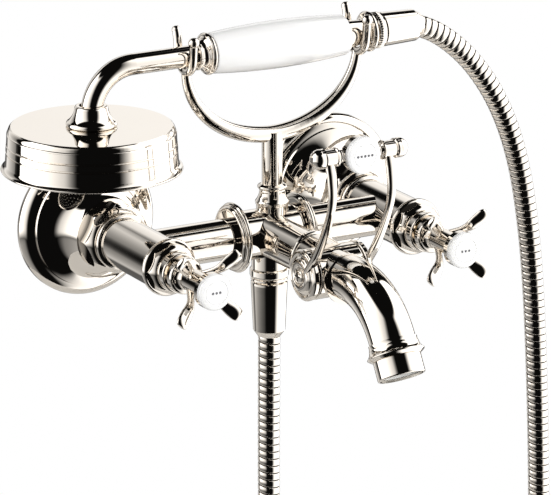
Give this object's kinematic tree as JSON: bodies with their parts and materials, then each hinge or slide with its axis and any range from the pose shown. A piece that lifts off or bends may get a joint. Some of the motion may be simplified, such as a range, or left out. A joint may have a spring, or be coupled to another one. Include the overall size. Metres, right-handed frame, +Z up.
{
  "type": "wall mounted bath mixer with hand shower",
  "caption": "Wall-mounted bath mixer with cross handles, a down-curved spout, a diverter lever, and a hand shower resting in a cradle with its metal hose.",
  "frame": {"origin": "on the wall plane, midway between the two water inlets", "axes": "+X along the wall towards the cold side, +Y into the wall, +Z up"},
  "size_m": [0.3346, 0.2338, 0.5428],
  "materials": {
    "polished_nickel": "polished nickel plate over brass, faintly warm",
    "hose_metal": "polished nickel spiral strip",
    "porcelain": "white gloss glaze",
    "brass": "machined",
    "ceramic_disc": "lapped",
    "rubber_washer": "matt",
    "aerator_plastic": "moulded"
  },
  "bodies": {
    "body": {"hot_wall_union": "brass", "hot_wall_flange": "polished_nickel", "hot_union_nut": "polished_nickel", "hot_valve_body": "polished_nickel", "hot_collar_ring": "polished_nickel", "hot_bonnet_nut": "polished_nickel", "hot_cartridge": "brass", "hot_bar_tube": "polished_nickel", "cold_wall_union": "brass", "cold_wall_flange": "polished_nickel", "cold_union_nut": "polished_nickel", "cold_valve_body": "polished_nickel", "cold_collar_ring": "polished_nickel", "cold_bonnet_nut": "polished_nickel", "cold_cartridge": "brass", "cold_bar_tube": "polished_nickel", "inlet_washers": "rubber_washer", "fixed_ceramic_discs": "ceramic_disc", "bar_rings": "polished_nickel", "tee_body": "polished_nickel", "vase_collar": "polished_nickel", "riser_post": "polished_nickel", "cradle": "polished_nickel", "shower_outlet": "polished_nickel", "outlet_hose_nut": "polished_nickel", "outlet_washer": "rubber_washer", "diverter_housing": "polished_nickel", "spout_tube": "polished_nickel", "spout_collar": "polished_nickel", "aerator_housing": "polished_nickel", "aerator_insert": "aerator_plastic", "shower_hose": "hose_metal"},
    "hot_handle": {"hot_turning_disc": "ceramic_disc", "hot_spindle": "brass", "hot_cross_handle": "polished_nickel", "hot_handle_screw": "brass", "hot_porcelain_button": "porcelain"},
    "cold_handle": {"cold_turning_disc": "ceramic_disc", "cold_spindle": "brass", "cold_cross_handle": "polished_nickel", "cold_handle_screw": "brass", "cold_porcelain_button": "porcelain"},
    "diverter_lever": {"diverter_rotor": "brass", "left_pivot_disc": "polished_nickel", "right_pivot_disc": "polished_nickel", "left_lever_rod": "polished_nickel", "right_lever_rod": "polished_nickel", "lever_crossbar": "polished_nickel", "lever_porcelain_button": "porcelain"},
    "hand_shower": {"handset_tube": "polished_nickel", "porcelain_grip": "porcelain", "front_ferrule": "polished_nickel", "rear_ferrule": "polished_nickel", "handset_hose_nut": "polished_nickel", "handset_washer": "rubber_washer", "head_nut": "polished_nickel", "head_shell": "polished_nickel", "spray_face": "polished_nickel"}
  },
  "joints": [
    {"name": "hot_handle_turn", "type": "hinge", "parent": "body", "child": "hot_handle", "pos_m": [-0.075, -0.1, 0], "axis": [0, -1, 0], "range_deg": [0, 90]},
    {"name": "cold_handle_turn", "type": "hinge", "parent": "body", "child": "cold_handle", "pos_m": [0.075, -0.1, 0], "axis": [0, 1, 0], "range_deg": [0, 90]},
    {"name": "diverter_turn", "type": "hinge", "parent": "body", "child": "diverter_lever", "pos_m": [0, -0.137, -0.0025], "axis": [1, 0, 0], "range_deg": [0, 60]},
    {"name": "hand_shower_lift", "type": "slide", "parent": "body", "child": "hand_shower", "axis": [0, 0, 1], "range_m": [0, 0.04]}
  ]
}
